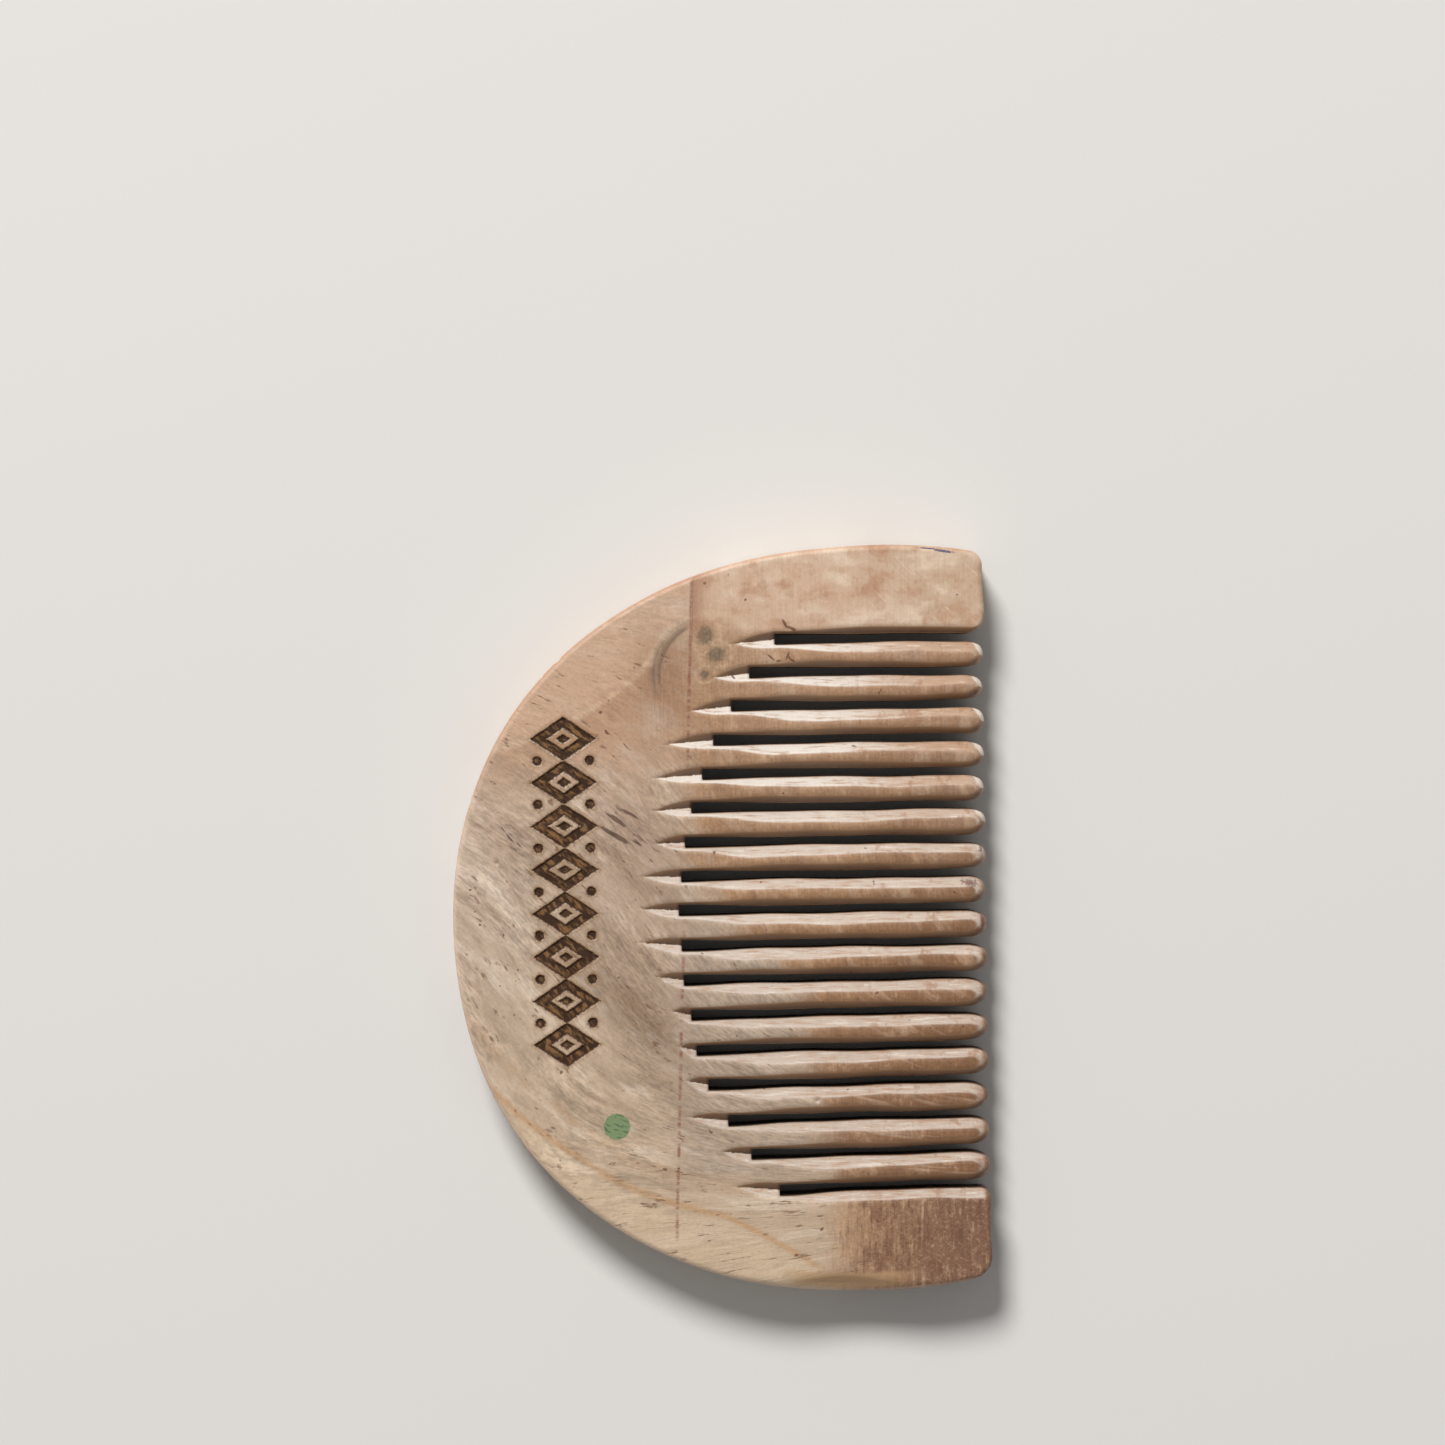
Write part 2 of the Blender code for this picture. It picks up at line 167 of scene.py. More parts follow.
def plan(x, y):
    """Everything that depends on the place in plan: heights, outline and slot walls."""
    x, y = np.asarray(x, float), np.asarray(y, float)
    # the slot above (larger y) and the slot below each point
    i_mid = 9 - (y - SLOT_Y0) / PITCH
    above = np.clip(np.floor(i_mid), 0, SLOTS)
    for _ in range(2):
        above = np.where(slot_y(above, x) < y, above - 1, above)
        above = np.where(slot_y(above + 1, x) > y, above + 1, above)
        above = np.clip(above, 0, SLOTS)
    below = above + 1
    ya, yb = slot_y(above, x), slot_y(below, x)
    uneven = 0.03 * np.sin(0.4 * x + above)
    # bullet shaped noses: the section shrinks about the middle of the tooth
    is_tooth = (above >= 1) & (above <= SLOTS - 1)
    mid = (ya + yb) / 2
    tip = TIP_X - 0.12 + 0.14 * np.sin(2.1 * above + 0.5)
    nose = NOSE + 0.5 * smooth((above - 7) / 6) + 0.25 * np.sin(3.7 * above)
    u = np.clip((x - (tip - nose)) / nose, 0.0, 0.995)
    shrink = np.where(is_tooth, (1 - u**2.4) ** 0.48, 1.0)
    yy = mid + (y - mid) / shrink
    da, db = ya - yy, yy - yb
    sa, sb = slot_start(above), slot_start(below)
    half_a, half_b = ((KERF + (KERF_TIP - KERF) * smooth((x - s) / 12.0)) / 2 + uneven for s in (sa, sb))
    wall_a = np.minimum((half_a - da) * shrink, x - sa)
    wall_b = np.minimum((half_b - db) * shrink, x - sb)
    wall_a = np.where(above < 1, -9.0, wall_a)
    wall_b = np.where(below > SLOTS, -9.0, wall_b)
    # inner corners of the two guards
    for guard, wall, r in ((above < 1, wall_b, 2.5), (below > SLOTS, wall_a, 1.7)):
        corner_x = x - (TIP_X - 0.12) + r
        rounded = np.hypot(np.maximum(corner_x, 0), np.maximum(wall + r, 0)) - r
        near = guard & (corner_x > 0) & (wall > -r)
        wall_a = np.where(near, np.maximum(wall_a, rounded), wall_a)
    slots = np.maximum(wall_a, wall_b)
    # V grooves
    ga, gb = da + groove_bend(above, x), db - groove_bend(below, x)
    t_a = np.minimum(groove_half(above, x, BEVEL_DOWN, 0) - ga, groove_half(above, x, BEVEL_UP, 1) + ga)
    t_b = np.minimum(groove_half(below, x, BEVEL_UP, 1) - gb, groove_half(below, x, BEVEL_DOWN, 0) + gb)
    t_a = np.where(above < 1, -9.0, t_a)
    t_b = np.where(below > SLOTS, -9.0, t_b)
    groove = np.maximum(t_a, t_b)
    # faces
    share = np.maximum(0.0, (x - TAPER_X) / (TIP_X - TAPER_X))
    shoulder = 0.10 * smooth((x - LINE_X - LINE_LEAN * y + 0.1) / 0.35) * smooth((y - 33.0) / 5.0)
    top = THICK - TAPER_DROP * share - shoulder + 0.035 * wave(x * 0.35, y * 0.35, 1.0) - 0.03
    under = UNDER_RISE * np.maximum(0.0, (x - UNDER_X) / (TIP_X - UNDER_X))
    centre = (top + under) / 2
    tall = shrink**0.7
    groove_top = groove * tall
    top_n = centre + (top - centre) * tall
    under_n = centre + (under - centre) * tall
    mark = ornament(x, y) + 0.05 * wave(x * 4, y * 4, 2.0)
    top_n = top_n - BAND_DEPTH * smooth(0.5 - mark / 0.22) * (1 + 0.25 * wave(x * 2.2, y * 2.2, 5.0))
    for cx, cy, size, depth in ((9.3, 39.1, 0.5, 0.12), (12.5, -24.4, 0.35, 0.25), (-30.0, 8.0, 0.3, 0.15)):
        top_n = top_n - chip(x, y, cx, cy, size, depth)
    # the lower guard's outer edge is rubbed down along its middle
    rub = 1.35 * np.exp(-(((x - 16.0) / 8.5) ** 2)) * (y < 0)
    edge = outline(x, y)
    return {
        "top": top_n, "under": under_n, "edge": edge, "slots": slots, "rub": rub,
        "groove_top": groove_top, "groove_under": groove * tall, "shrink": shrink,
    }


def solid(p, z):
    """Signed distance (near the surface) for points of the plan p at height z."""
    slab = np.maximum(z - p["top"], p["under"] - z)
    r = RIM_R
    a, b = p["edge"] + r, slab + r
    rim = np.minimum(np.maximum(a, b), 0) + np.hypot(np.maximum(a, 0), np.maximum(b, 0)) - r
    chamfer = (p["edge"] + (z - p["top"]) * 1.5 + p["rub"] * 1.9) / 1.8
    rim = smax(rim, chamfer, 0.4)
    fine = 0.42 + 0.5 * (1 - p["shrink"])
    bevels = np.maximum(z - p["top"] + p["groove_top"], p["under"] - z + p["groove_under"]) / 1.3
    shape = smax(rim, bevels, fine)
    return smax(shape, p["slots"], fine)


def gradient(v, h=0.02):
    x, y, z = v.T
    gx = solid(plan(x + h, y), z) - solid(plan(x - h, y), z)
    gy = solid(plan(x, y + h), z) - solid(plan(x, y - h), z)
    p = plan(x, y)
    gz = solid(p, z + h) - solid(p, z - h)
    return np.stack((gx, gy, gz), axis=1) / (2 * h), solid(p, z)


def surface():
    """Naive surface nets over the comb, then each vertex drawn onto the true surface."""
    low = np.array((-36.6, -50.9, -0.7))
    high = np.array((36.7, 50.9, 9.8))
    axes = [np.arange(a, b, c) for a, b, c in zip(low, high, CELL)]
    X, Y = np.meshgrid(axes[0], axes[1], indexing="ij")
    p = {key: value[:, :, None] for key, value in plan(X, Y).items()}
    V = solid(p, axes[2][None, None, :])
    inside = V < 0
    n = [len(a) for a in axes]
    count = np.zeros([m - 1 for m in n], np.int8)
    for i in (0, 1):
        for j in (0, 1):
            for k in (0, 1):
                count += inside[i : n[0] - 1 + i, j : n[1] - 1 + j, k : n[2] - 1 + k]
    active = (count > 0) & (count < 8)
    cells = np.argwhere(active)
    index = np.full(active.shape, -1, np.int64)
    index[tuple(cells.T)] = np.arange(len(cells))
    total = np.zeros((len(cells), 3))
    hits = np.zeros(len(cells))
    corners = [(i, j, k) for i in (0, 1) for j in (0, 1) for k in (0, 1)]
    values = {c: V[cells[:, 0] + c[0], cells[:, 1] + c[1], cells[:, 2] + c[2]] for c in corners}
    for c in corners:
        for axis in range(3):
            if c[axis]:
                continue
            d = list(c)
            d[axis] = 1
            a, b = values[c], values[tuple(d)]
            cross = (a < 0) != (b < 0)
            t = np.where(cross, a / np.where(cross, a - b, 1.0), 0.0)
            point = np.zeros((len(cells), 3)) + np.array(c, float)
            point[:, axis] = t
            total += point * cross[:, None]
            hits += cross
    verts = (cells + total / hits[:, None]) * np.array(CELL) + np.array([a[0] for a in axes])
    quads = []
    for axis in range(3):
        lo = [slice(1, m - 1) for m in n]
        lo[axis] = slice(0, n[axis] - 1)
        hi = list(lo)
        hi[axis] = slice(1, n[axis])
        a, b = inside[tuple(lo)], inside[tuple(hi)]
        edges = np.argwhere(a != b)
        out = a[tuple(edges.T)]
        start = edges + np.array([0 if s.start == 0 else 1 for s in lo])
        u, w = (axis + 1) % 3, (axis + 2) % 3
        around = []
        for du, dw in ((-1, -1), (0, -1), (0, 0), (-1, 0)):
            cell = start.copy()
            cell[:, u] += du
            cell[:, w] += dw
            around.append(index[tuple(cell.T)])
        quad = np.stack(around, axis=1)
        quad[~out] = quad[~out][:, ::-1]
        quads.append(quad)
    quads = np.concatenate(quads)
    limit = np.array(CELL) * 0.6
    for _ in range(2):
        g, f = gradient(verts)
        step = -f[:, None] * g / np.maximum((g * g).sum(1), 0.05)[:, None]
        verts = verts + np.clip(step, -limit, limit)
    return verts, quads


def mesh_from(name, verts, faces):
    mesh = bpy.data.meshes.new(name)
    mesh.from_pydata([], [], [])
    verts = np.ascontiguousarray(verts, np.float32)
    faces = np.ascontiguousarray(faces, np.int32)
    sides = faces.shape[1]
    mesh.vertices.add(len(verts))
    mesh.vertices.foreach_set("co", verts.ravel())
    mesh.loops.add(faces.size)
    mesh.loops.foreach_set("vertex_index", faces.ravel())
    mesh.polygons.add(len(faces))
    mesh.polygons.foreach_set("loop_start", np.arange(len(faces), dtype=np.int32) * sides)
    mesh.update(calc_edges=True)
    mesh.validate()
    return mesh


def lightened(verts, faces):
    """The same surface with far fewer triangles where it is nearly flat."""
    mesh = mesh_from("board_raw", verts, faces)
    board = bpy.data.objects.new("board_raw", mesh)
    bpy.context.scene.collection.objects.link(board)
    shrink = board.modifiers.new("Lighten", "DECIMATE")
    shrink.ratio = min(1.0, TARGET / (len(faces) * 2))
    shrink.use_collapse_triangulate = True
    bpy.context.view_layer.update()
    got = bpy.data.meshes.new_from_object(board.evaluated_get(bpy.context.evaluated_depsgraph_get()))
    bpy.data.objects.remove(board, do_unlink=True)
    return got


# ---------------------------------------------------------------- pieces
def root_x(n):
    """Where tooth n leaves the back; 0 and SLOTS stand for the two guards."""
    return max(float(slot_start(i)) for i in (n, n + 1) if 1 <= i <= SLOTS) + 0.5


def between(n, x, y):
    """Points that lie between slot n and slot n + 1."""
    over = y < slot_y(n, x) if n > 0 else np.full(y.shape, True)
    under = y > slot_y(n + 1, x) if n < SLOTS else np.full(y.shape, True)
    return over & under


def corners(mesh):
    verts = np.empty(len(mesh.vertices) * 3, np.float32)
    mesh.vertices.foreach_get("co", verts)
    verts = verts.reshape(-1, 3).astype(float)
    faces = np.empty(len(mesh.loops), np.int32)
    mesh.loops.foreach_get("vertex_index", faces)
    return verts, faces.reshape(-1, 3)


def divided(mesh):
    """The board's triangles cut along the line where each tooth leaves the back."""
    verts, faces = corners(mesh)
    x, y = verts[faces][:, :, 0], verts[faces][:, :, 1]
    body = bmesh.new()
    body.from_mesh(mesh)
    body.faces.ensure_lookup_table()
    rows = []
    for n in range(SLOTS + 1):
        line = root_x(n)
        hit = (x.min(1) < line) & (x.max(1) > line) & between(n, x.mean(1), y.mean(1))
        rows.append((line, [body.faces[i] for i in np.nonzero(hit)[0]]))
    for line, hit in rows:
        edges = {e for f in hit for e in f.edges}
        points = {v for f in hit for v in f.verts}
        bmesh.ops.bisect_plane(
            body, geom=[*points, *edges, *hit], dist=1e-4, plane_co=(line, 0, 0), plane_no=(1, 0, 0)
        )
    bmesh.ops.triangulate(body, faces=[f for f in body.faces if len(f.verts) > 3])
    body.to_mesh(mesh)
    body.free()
    return corners(mesh)


def piece(name, verts, faces, body_name, node, material):
    """One closed piece of the board, its cut ends capped, shaded by the true surface."""
    used, faces = np.unique(faces, return_inverse=True)
    mesh = mesh_from(name, verts[used], faces.reshape(-1, 3))
    body = bmesh.new()
    body.from_mesh(mesh)
    mark = body.faces.layers.int.new("cap")
    open_edges = [e for e in body.edges if e.is_boundary]
    caps = bmesh.ops.holes_fill(body, edges=open_edges, sides=0)["faces"]
    caps = bmesh.ops.triangulate(body, faces=caps)["faces"]
    for face in caps:
        face[mark] = 1
    body.to_mesh(mesh)
    body.free()
    points, tris = corners(mesh)
    cap = np.empty(len(mesh.polygons), np.int32)
    mesh.attributes["cap"].data.foreach_get("value", cap)
    mesh.attributes.remove(mesh.attributes["cap"])
    normals, _ = gradient(points, 0.03)
    normals /= np.maximum(np.linalg.norm(normals, axis=1), 1e-9)[:, None]
    a, b, c = points[tris[:, 0]], points[tris[:, 1]], points[tris[:, 2]]
    flat = np.cross(b - a, c - a)
    flat /= np.maximum(np.linalg.norm(flat, axis=1), 1e-12)[:, None]
    loops = normals[tris]
    # a corner of the surface keeps its own face's direction where the two disagree
    agree = (loops * flat[:, None, :]).sum(2)
    loops = np.where((agree < 0.3)[:, :, None] | (cap == 1)[:, None, None], flat[:, None, :], loops)
    mesh.vertices.foreach_set("co", (points * 0.001).astype(np.float32).ravel())
    mesh.polygons.foreach_set("use_smooth", np.ones(len(mesh.polygons), bool))
    mesh.update()
    mesh.normals_split_custom_set(loops.reshape(-1, 3).tolist())
    mesh.materials.append(material)
    made = bpy.data.objects.new(name, mesh)
    bpy.context.scene.collection.objects.link(made)
    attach(made, body_name)
    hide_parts(node)
    return made


# ---------------------------------------------------------------- shader helpers
def srgb(r, g, b):
    def lin(c):
        c /= 255
        return c / 12.92 if c <= 0.04045 else ((c + 0.055) / 1.055) ** 2.4

    return (lin(r), lin(g), lin(b), 1.0)


class Val:
    """A number or colour that shader nodes work out."""

    def __init__(self, graph, socket):
        self.graph, self.socket = graph, socket

    def __add__(self, other):
        return self.graph.math("ADD", self, other)

    def __sub__(self, other):
        return self.graph.math("SUBTRACT", self, other)

    def __rsub__(self, other):
        return self.graph.math("SUBTRACT", other, self)

    def __mul__(self, other):
        return self.graph.math("MULTIPLY", self, other)

    def __truediv__(self, other):
        return self.graph.math("DIVIDE", self, other)

    def __neg__(self):
        return self.graph.math("MULTIPLY", self, -1.0)

    __radd__, __rmul__ = __add__, __mul__


class Graph:
    def __init__(self, tree):
        self.tree, self.count = tree, 0

    def node(self, kind):
        made = self.tree.nodes.new(kind)
        made.location = (180 * (self.count // 12) - 6000, -150 * (self.count % 12))
        self.count += 1
        return made

    def put(self, socket, value):
        if isinstance(value, Val):
            self.tree.links.new(value.socket, socket)
        else:
            socket.default_value = value

    def math(self, op, *values, clamp=False):
        made = self.node("ShaderNodeMath")
        made.operation, made.use_clamp = op, clamp
        for socket, value in zip(made.inputs, values):
            self.put(socket, value)
        return Val(self, made.outputs[0])

    def abs(self, a):
        return self.math("ABSOLUTE", a)

    def min(self, a, b):
        return self.math("MINIMUM", a, b)

    def max(self, a, b):
        return self.math("MAXIMUM", a, b)

    def hypot(self, a, b):
        return self.math("SQRT", a * a + b * b)

    def clamp(self, a):
        return self.math("ADD", a, 0.0, clamp=True)

    def vec(self, x=0.0, y=0.0, z=0.0):
        made = self.node("ShaderNodeCombineXYZ")
        for socket, value in zip(made.inputs, (x, y, z)):
            self.put(socket, value)
        return Val(self, made.outputs[0])

    def split(self, v):
        made = self.node("ShaderNodeSeparateXYZ")
        self.put(made.inputs[0], v)
        return [Val(self, s) for s in made.outputs]

    def ramp(self, v, low, high, to_low=0.0, to_high=1.0):
        """to_low below low, to_high above high, smooth between."""
        made = self.node("ShaderNodeMapRange")
        made.interpolation_type = "SMOOTHSTEP"
        if low > high:
            low, high, to_low, to_high = high, low, to_high, to_low
        for socket, value in zip(made.inputs[:5], (v, low, high, to_low, to_high)):
            self.put(socket, value)
        return Val(self, made.outputs[0])

    def noise(self, v, scale=1.0, detail=2.0, rough=0.5, distort=0.0):
        made = self.node("ShaderNodeTexNoise")
        self.put(made.inputs["Vector"], v)
        made.inputs["Scale"].default_value = scale
        made.inputs["Detail"].default_value = detail
        made.inputs["Roughness"].default_value = rough
        made.inputs["Distortion"].default_value = distort
        return Val(self, made.outputs["Fac"] if "Fac" in made.outputs else made.outputs[0])

    def blob(self, x, y, cx, cy, rx, ry, degrees=0.0):
        """A soft spot, 1 at its middle, turned by so many degrees."""
        c, s = math.cos(math.radians(degrees)), math.sin(math.radians(degrees))
        u = x * (c / rx) + y * (s / rx) - (cx * c + cy * s) / rx
        v = y * (c / ry) - x * (s / ry) - (cy * c - cx * s) / ry
        return self.math("EXPONENT", -(u * u + v * v))

    def mix(self, a, b, share):
        made = self.node("ShaderNodeMix")
        made.data_type = "RGBA"
        made.clamp_factor = True
        self.put(made.inputs[0], share)
        self.put(made.inputs[6], a)
        self.put(made.inputs[7], b)
        return Val(self, made.outputs[2])

    def scale(self, colour, amount):
        made = self.node("ShaderNodeVectorMath")
        made.operation = "SCALE"
        self.put(made.inputs[0], colour if isinstance(colour, Val) else colour[:3])
        self.put(made.inputs[3], amount)
        return Val(self, made.outputs[0])


# ---------------------------------------------------------------- the wood
def ornament_nodes(g, x, y):
    """The same chain of lozenges as in the shape, as a signed distance."""
    half = BAND_PITCH * BAND_COUNT / 2
    v = y - BAND_Y
    cell = (v + half) / BAND_PITCH
    k = g.min(g.max(g.math("FLOOR", cell), 0.0), BAND_COUNT - 1.0)
    w = v + half - (k + 0.5) * BAND_PITCH
    u = g.abs(x - BAND_X)
    norm = BAND_HALF_X * BAND_HALF_Y / math.hypot(BAND_HALF_X, BAND_HALF_Y)
    lozenge = (u / BAND_HALF_X + g.abs(w) / BAND_HALF_Y - 1.0) * norm
    ring = g.abs(lozenge + BAND_STROKE) - BAND_STROKE
    core = (u / 0.95 + g.abs(w) / 0.62 - 1.0) * 0.52
    k2 = g.min(g.max(g.math("ROUND", cell), 1.0), BAND_COUNT - 1.0)
    w2 = v + half - k2 * BAND_PITCH
    dots = g.hypot(u - 3.5, w2) - 0.62
    return g.min(g.min(ring, core), dots)


def rim_nodes(g, x, y):
    """How far inside the rounded outline a point lies, in millimetres."""
    c, s = math.cos(BACK_TURN), math.sin(BACK_TURN)
    px, py = x - BACK_C[0], y - BACK_C[1]
    X = g.abs((px * c + py * s) / BACK_A)
    Y = g.abs((py * c - px * s) / BACK_B)
    n = BACK_N
    r = g.math("POWER", g.math("POWER", X, n) + g.math("POWER", Y, n), 1 / n)
    return (1.0 - r) * 52.0


def wood(name):
    material = bpy.data.materials.new(name)
    material.use_nodes = True
    tree = material.node_tree
    shader = tree.nodes["Principled BSDF"]
    g = Graph(tree)
    coords = g.node("ShaderNodeTexCoord")
    x, y, z = [v * 1000.0 for v in g.split(Val(g, coords.outputs["Object"]))]
    nx, ny, nz = g.split(Val(g, coords.outputs["Normal"]))

    # fibres: level lines of t, lying along s; z carries them through the board
    wander = g.noise(g.vec(x, y, z), 0.05, 1.0) - 0.5
    yc = y + 5.0
    up, down = g.max(yc, 0.0), g.min(yc, 0.0)
    lean = 0.77 - up * up * 0.00029 - down * down * 0.0007
    t = (x + 18.0) * lean + yc * 0.64 + yc * yc * yc * 0.00006 + z * 0.3 + wander * 3.5
    s = x * 0.72 - y * 0.66
    rings = g.hypot(x - 13.0, y - 20.0) + (z - 9.0) * 0.4 + wander * 3.0
    inward = rim_nodes(g, x, y)
    inside = g.ramp(inward, 0.9, 1.6) * g.ramp(x, 35.2, 34.4)
    facet = g.ramp(nz, 0.96, 0.86) * g.ramp(nz, 0.30, 0.5)
    bevel = facet * inside
    wall = g.ramp(nz, 0.36, 0.12) * g.ramp(nz, -0.36, -0.12)

    # noises that several layers share
    bands = g.noise(g.vec(t * 0.2, s * 0.05, 0.0), 1.0, 3.0, 0.62)
    streak = g.noise(g.vec(t * 1.1, s * 0.2, 0.0), 1.0, 2.0, 0.65)
    fibre = g.noise(g.vec(t * 3.1, s * 0.8, z * 0.8), 1.0, 2.0, 0.6)
    blotch = g.noise(g.vec(x * 0.5, y * 0.36, z * 0.3), 1.0, 3.0, 0.68)
    scratch = g.noise(g.vec(x * 4.0, y * 0.2, z * 0.3), 1.0, 2.0, 0.65)
    grit = g.noise(g.vec(x, y, z), 2.6, 2.0, 0.7)

    # broad colour zones of the back
    colour = g.mix(srgb(191, 169, 148), srgb(192, 168, 143), g.ramp(y, 5.0, -35.0))
    colour = g.mix(colour, srgb(196, 161, 134), g.ramp(y, 8.0, 32.0, 0.0, 0.95))
    quiet = g.ramp(y, 28.0, 14.0, 0.1, 1.0) * (1.0 - g.ramp(x, -4.0, 4.0, 0.0, 0.75) * g.ramp(y, -26.0, -34.0))
    colour = g.mix(colour, srgb(150, 130, 109), g.ramp(bands, 0.48, 0.66, 0.0, 0.55) * quiet)
    colour = g.mix(colour, srgb(216, 197, 177), g.ramp(bands, 0.50, 0.34, 0.0, 0.65))
    broad = g.noise(g.vec(t * 0.5, s * 0.1, 13.0), 1.0, 2.0, 0.55)
    colour = g.mix(colour, srgb(150, 126, 104), g.ramp(broad, 0.54, 0.68, 0.0, 0.42) * quiet)
    colour = g.mix(colour, srgb(220, 203, 184), g.ramp(broad, 0.44, 0.32, 0.0, 0.45))
    bow = g.max(x, 0.0)
    golden = g.hypot(x - 13.0, y - 20.0) + (z - 9.0) * 0.4 + wander * 1.2 - 61.0 - bow * 0.3 - bow * bow * 0.012
    sap = g.ramp(golden, -0.6, 1.6) * g.ramp(y, -14.0, -30.0)
    colour = g.mix(colour, srgb(206, 182, 153), sap * 0.6)
    colour = g.mix(colour, srgb(186, 142, 98), g.ramp(g.abs(golden), 0.8, 0.0, 0.0, 0.6) * g.ramp(y, -8.0, -22.0) * g.ramp(x, 13.5, 11.5))
    colour = g.mix(colour, srgb(182, 148, 112), g.ramp(g.abs(rings - 57.0), 1.5, 0.2, 0.0, 0.3) * g.ramp(y, 2.0, -14.0))
    olive = g.blob(x, y, -10.5, -13.5, 10.0, 3.8, -52.0)
    colour = g.mix(colour, srgb(124, 100, 76), olive * g.ramp(streak, 0.36, 0.6, 0.45, 0.95))
    dull = g.blob(x, y, -11.0, 4.0, 7.5, 16.0, 8.0)
    colour = g.mix(colour, srgb(158, 128, 106), dull * 0.42)
    warm = g.blob(x, y, -13.0, 27.0, 9.0, 8.0)
    colour = g.mix(colour, srgb(176, 134, 104), warm * 0.4)

    # a pale growth line that runs up towards the knots
    far = x + 17.2
    straight = y - 28.3 - far * (0.6 + far * 0.0145)
    round_knots = g.hypot(x + 0.9, y - 32.8) - 8.1
    below = g.max(straight * 0.85, g.min(x + 9.4, y - 33.5))
    meet = g.max(2.6 - g.abs(below - round_knots), 0.0) / 2.6
    away = g.min(below, round_knots) - meet * meet * 0.65 + wander * 0.9
    pale_line = g.ramp(g.abs(away), 0.7, 0.05) * g.ramp(x, -33.0, -28.0) * g.ramp(x, 4.0, 1.0) * g.ramp(y, 22.0, 24.0)
    beside = g.ramp(away, -7.0, -0.6) * g.ramp(away, 0.2, -0.4) * g.ramp(x, -33.0, -28.0) * g.ramp(x, -4.0, -7.0)
    colour = g.mix(colour, srgb(166, 128, 98), beside * 0.42)
    above = g.ramp(away, 0.2, 1.5) * g.ramp(x, -4.0, -8.0) * g.ramp(y, 20.0, 26.0)
    colour = g.mix(colour, srgb(197, 164, 137), above * 0.7)

    # dark mineral streaks beside the ornament
    turned = y * 0.79 + x * 0.62
    along = x * 0.79 - y * 0.62
    stain = g.noise(g.vec(turned * 2.2, along * 0.42, 11.0), 1.0, 2.0, 0.55)
    spot = g.max(g.blob(x, y, -11.6, 12.4, 7.0, 2.4, -38.0), g.blob(x, y, -28.6, 10.6, 5.4, 2.8, -48.0) * 0.7)
    colour = g.mix(colour, srgb(148, 118, 98), spot * 0.5)
    strokes = None
    for cx, cy, reach, width, turn, depth in (
        (-13.8, 13.5, 2.2, 0.38, -35.0, 1.0),
        (-14.0, 11.4, 3.1, 0.42, -30.0, 1.0),
        (-12.2, 14.4, 2.2, 0.34, -28.0, 0.75),
        (-11.2, 10.4, 1.6, 0.26, -36.0, 0.7),
        (-6.7, 9.9, 2.1, 0.28, -41.0, 0.7),
        (-9.4, 8.1, 1.2, 0.22, -40.0, 0.6),
        (-29.2, 12.6, 1.0, 0.18, -52.0, 0.7),
        (-28.2, 11.3, 1.2, 0.2, -50.0, 0.8),
        (-27.0, 10.4, 1.0, 0.18, -48.0, 0.7),
    ):
        one = g.blob(x, y, cx, cy, reach, width, turn) * depth
        strokes = one if strokes is None else g.max(strokes, one)
    torn = strokes + (stain - 0.5) * 0.8 + (fibre - 0.5) * 0.6
    colour = g.mix(colour, srgb(92, 68, 56), g.ramp(torn, 0.38, 0.72) * g.ramp(strokes, 0.06, 0.3) * 0.9)
    colour = g.mix(colour, srgb(96, 74, 62), g.ramp(stain + spot * 0.2, 0.72, 0.84) * g.ramp(spot, 0.2, 0.7) * 0.7)

    # the sanded tooth area: browner, scratched across the teeth, mottled
    edge_x = (
        g.ramp(y, 9.0, -1.0, -4.6, 1.5)
        + g.ramp(y, -1.0, -9.0, 0.0, 8.5)
        + g.ramp(y, -9.0, -43.0, 0.0, 4.5)
    )
    edge_x = edge_x + (blotch - 0.5) * 9.0
    sanded = g.ramp(x - edge_x, -3.0, 3.5) * g.ramp(y, 41.5, 37.0)
    lower = g.ramp(y, 8.0, -30.0)
    plank = g.ramp(y, -34.0, -37.5)
    saw = g.noise(g.vec(x * 1.5, y * 0.22, 4.0), 1.0, 3.0, 0.7)
    tick = g.noise(g.vec(x * 1.1, y * 2.6, 4.0), 1.0, 2.0, 0.7)
    mottle = blotch * (1.0 - plank * 0.55) + saw * plank * 0.55
    brown = g.mix(srgb(160, 119, 82), srgb(142, 105, 76), lower)
    brown = g.mix(brown, srgb(128, 88, 56), g.ramp(x, 12.0, 30.0, 0.0, 0.75) * g.ramp(y, 37.5, 36.0) * (1.0 - plank))
    brown = g.mix(brown, srgb(196, 160, 126), plank * g.ramp(x, 24.0, 12.0) * 0.8)
    onset = g.ramp(x, 10.0, 25.0, 0.25, 1.0)
    brown = g.mix(brown, srgb(116, 80, 60), plank * g.ramp(x, 20.0, 33.0) * 0.8)
    uneven = plank * 0.55 + 0.30
    brown = g.mix(brown, srgb(112, 72, 48), g.ramp(mottle, 0.47, 0.62) * uneven * g.max(onset, 1.0 - plank))
    brown = g.mix(brown, srgb(205, 172, 142), g.ramp(mottle, 0.46, 0.32) * (0.3 + plank * 0.12))
    brown = g.mix(brown, srgb(186, 156, 130), g.ramp(broad, 0.52, 0.66, 0.0, 0.5) * (1.0 - plank))
    brown = g.mix(brown, srgb(108, 64, 46), g.ramp(tick, 0.45, 0.32, 0.0, 0.5) * plank * g.ramp(blotch, 0.4, 0.6))
    brown = g.mix(brown, srgb(104, 66, 46), g.ramp(saw, 0.53, 0.66, 0.0, 0.85) * plank * onset)
